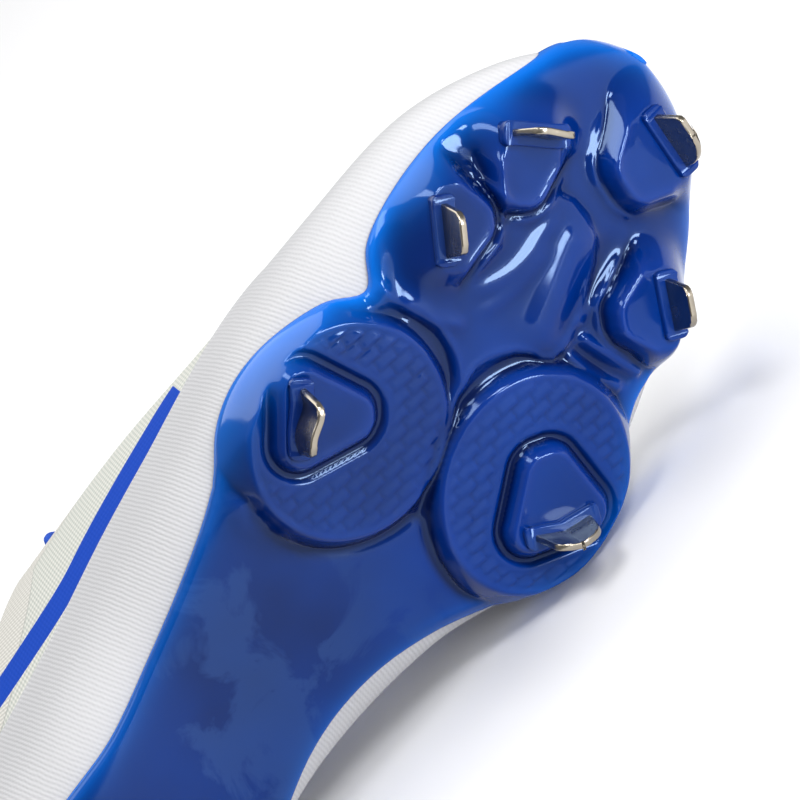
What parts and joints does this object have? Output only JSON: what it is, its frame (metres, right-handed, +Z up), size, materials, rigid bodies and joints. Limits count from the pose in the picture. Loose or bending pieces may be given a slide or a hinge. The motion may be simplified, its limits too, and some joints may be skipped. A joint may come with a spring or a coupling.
{
  "type": "baseball cleat",
  "caption": "Low-cut right baseball cleat with a light upper, laces and a blue moulded plate with metal blade spikes, lying on its inner side.",
  "frame": {"origin": "on the floor, under the middle of the bounding box", "axes": "+X along the floor towards the toe, +Z up. The shoe lies on its inner side, so its outer side looks up and its sole looks to -Y, a little downward."},
  "size_m": [0.2902, 0.1396, 0.1085],
  "materials": {
    "plate": "glossy, moulded",
    "upper": "coated textile with fine crosswise ribs",
    "tongue": "soft knit",
    "insole": "matte",
    "laces": "braided",
    "spike": "polished, dark"
  },
  "bodies": {
    "root": {"outsole_plate": "plate", "upper": "upper", "tongue": "tongue", "insole": "insole", "laces": "laces", "spike_toe_lateral": "spike", "spike_toe_medial": "spike", "spike_fore_lateral": "spike", "spike_fore_medial": "spike", "spike_ball_lateral": "spike", "spike_ball_medial": "spike", "spike_heel_lateral": "spike", "spike_heel_medial": "spike", "spike_heel_rear": "spike"}
  },
  "joints": []
}
